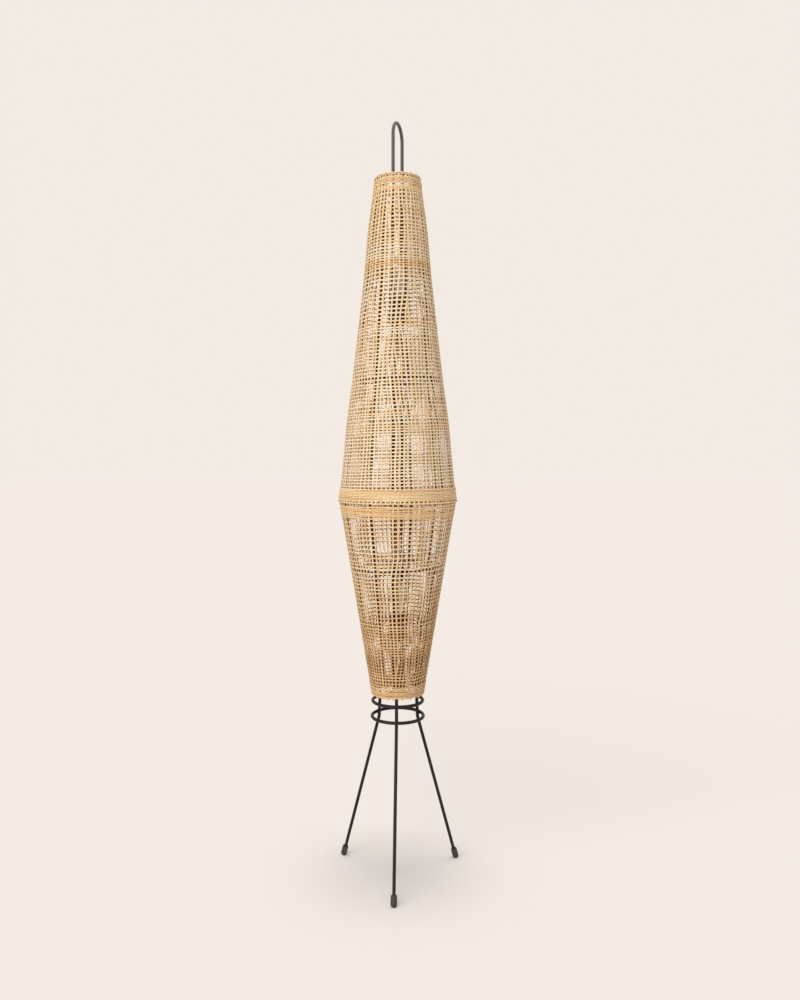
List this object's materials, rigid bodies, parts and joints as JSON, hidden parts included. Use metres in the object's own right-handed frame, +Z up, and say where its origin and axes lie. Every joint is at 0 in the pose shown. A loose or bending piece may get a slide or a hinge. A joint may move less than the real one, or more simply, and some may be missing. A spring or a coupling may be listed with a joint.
{
  "type": "floor lamp",
  "caption": "Tall spindle floor lamp: two woven rattan cones on a bent-rod tripod, with lampholders on a hairpin rod that ends in a carrying handle.",
  "frame": {"origin": "on the floor, under the middle of the lamp's box; the lamp's own axis stands 3.8 mm to -X and 12.5 mm to +Y of it, because the three feet spread unevenly about the axis", "axes": "+Z up, -Y to the front, which is the side of the single front leg, +X to the right seen from the front"},
  "size_m": [0.2654, 0.2794, 1.6],
  "materials": {
    "black_steel": "satin black lacquer over bent round rod",
    "cane": "woven split rattan, natural, unvarnished",
    "plait": "close rows of split rattan, a little darker than the open weave",
    "rubber": "matt black rubber",
    "black_plastic": "moulded black phenolic",
    "ceramic": "glazed ceramic contact block",
    "brass": "threaded tube, plain",
    "nickel": "rolled screw cap",
    "frosted_glass": "frosted white",
    "textile_lead": "braided brown sleeve"
  },
  "bodies": {
    "stand": {"leg_front": "black_steel", "leg_right": "black_steel", "leg_left": "black_steel", "foot_cap_front": "rubber", "foot_cap_right": "rubber", "foot_cap_left": "rubber", "base_ring_upper": "black_steel", "base_ring_lower": "black_steel", "hairpin": "black_steel", "foot_bar": "black_steel", "cord_grip": "black_plastic", "junction_housing": "black_plastic", "lower_bracket": "black_steel", "lower_nipple": "brass", "lower_holder_cap": "black_plastic", "lower_holder_insert": "ceramic", "lower_holder_shell": "black_plastic", "upper_bracket": "black_steel", "upper_nipple": "brass", "upper_holder_cap": "black_plastic", "upper_holder_insert": "ceramic", "upper_holder_shell": "black_plastic", "lower_lead": "textile_lead", "upper_lead": "textile_lead", "lead_clip_1": "black_plastic", "lead_clip_2": "black_plastic", "lead_clip_3": "black_plastic", "lower_frame_ring_bottom": "black_steel", "lower_frame_ring_top": "black_steel", "lower_rib_1": "black_steel", "lower_rib_2": "black_steel", "lower_rib_3": "black_steel", "lower_rib_4": "black_steel", "lower_rib_5": "black_steel", "lower_rib_6": "black_steel", "lower_rib_7": "black_steel", "lower_rib_8": "black_steel", "lower_rib_9": "black_steel", "lower_weave": "cane", "bottom_rim_band": "plait", "lower_hem_band": "plait"},
    "upper_shade": {"upper_frame_ring_bottom": "black_steel", "upper_frame_ring_top": "black_steel", "upper_frame_hoop": "black_steel", "upper_rib_1": "black_steel", "upper_rib_2": "black_steel", "upper_rib_3": "black_steel", "upper_rib_4": "black_steel", "upper_rib_5": "black_steel", "upper_rib_6": "black_steel", "upper_rib_7": "black_steel", "upper_rib_8": "black_steel", "upper_rib_9": "black_steel", "upper_weave": "cane", "upper_hem_band": "plait", "top_rim_band": "plait"},
    "lower_bulb": {"lower_bulb_cap": "nickel", "lower_bulb_glass": "frosted_glass"},
    "upper_bulb": {"upper_bulb_cap": "nickel", "upper_bulb_glass": "frosted_glass"}
  },
  "joints": [
    {"name": "upper_shade_lift", "type": "slide", "parent": "stand", "child": "upper_shade", "axis": [0, 0, 1], "range_m": [0, 0.8]},
    {"name": "lower_bulb_out", "type": "slide", "parent": "stand", "child": "lower_bulb", "axis": [0, 0, 1], "range_m": [0, 0.033]},
    {"name": "upper_bulb_out", "type": "slide", "parent": "stand", "child": "upper_bulb", "axis": [0, 0, 1], "range_m": [0, 0.033]}
  ]
}
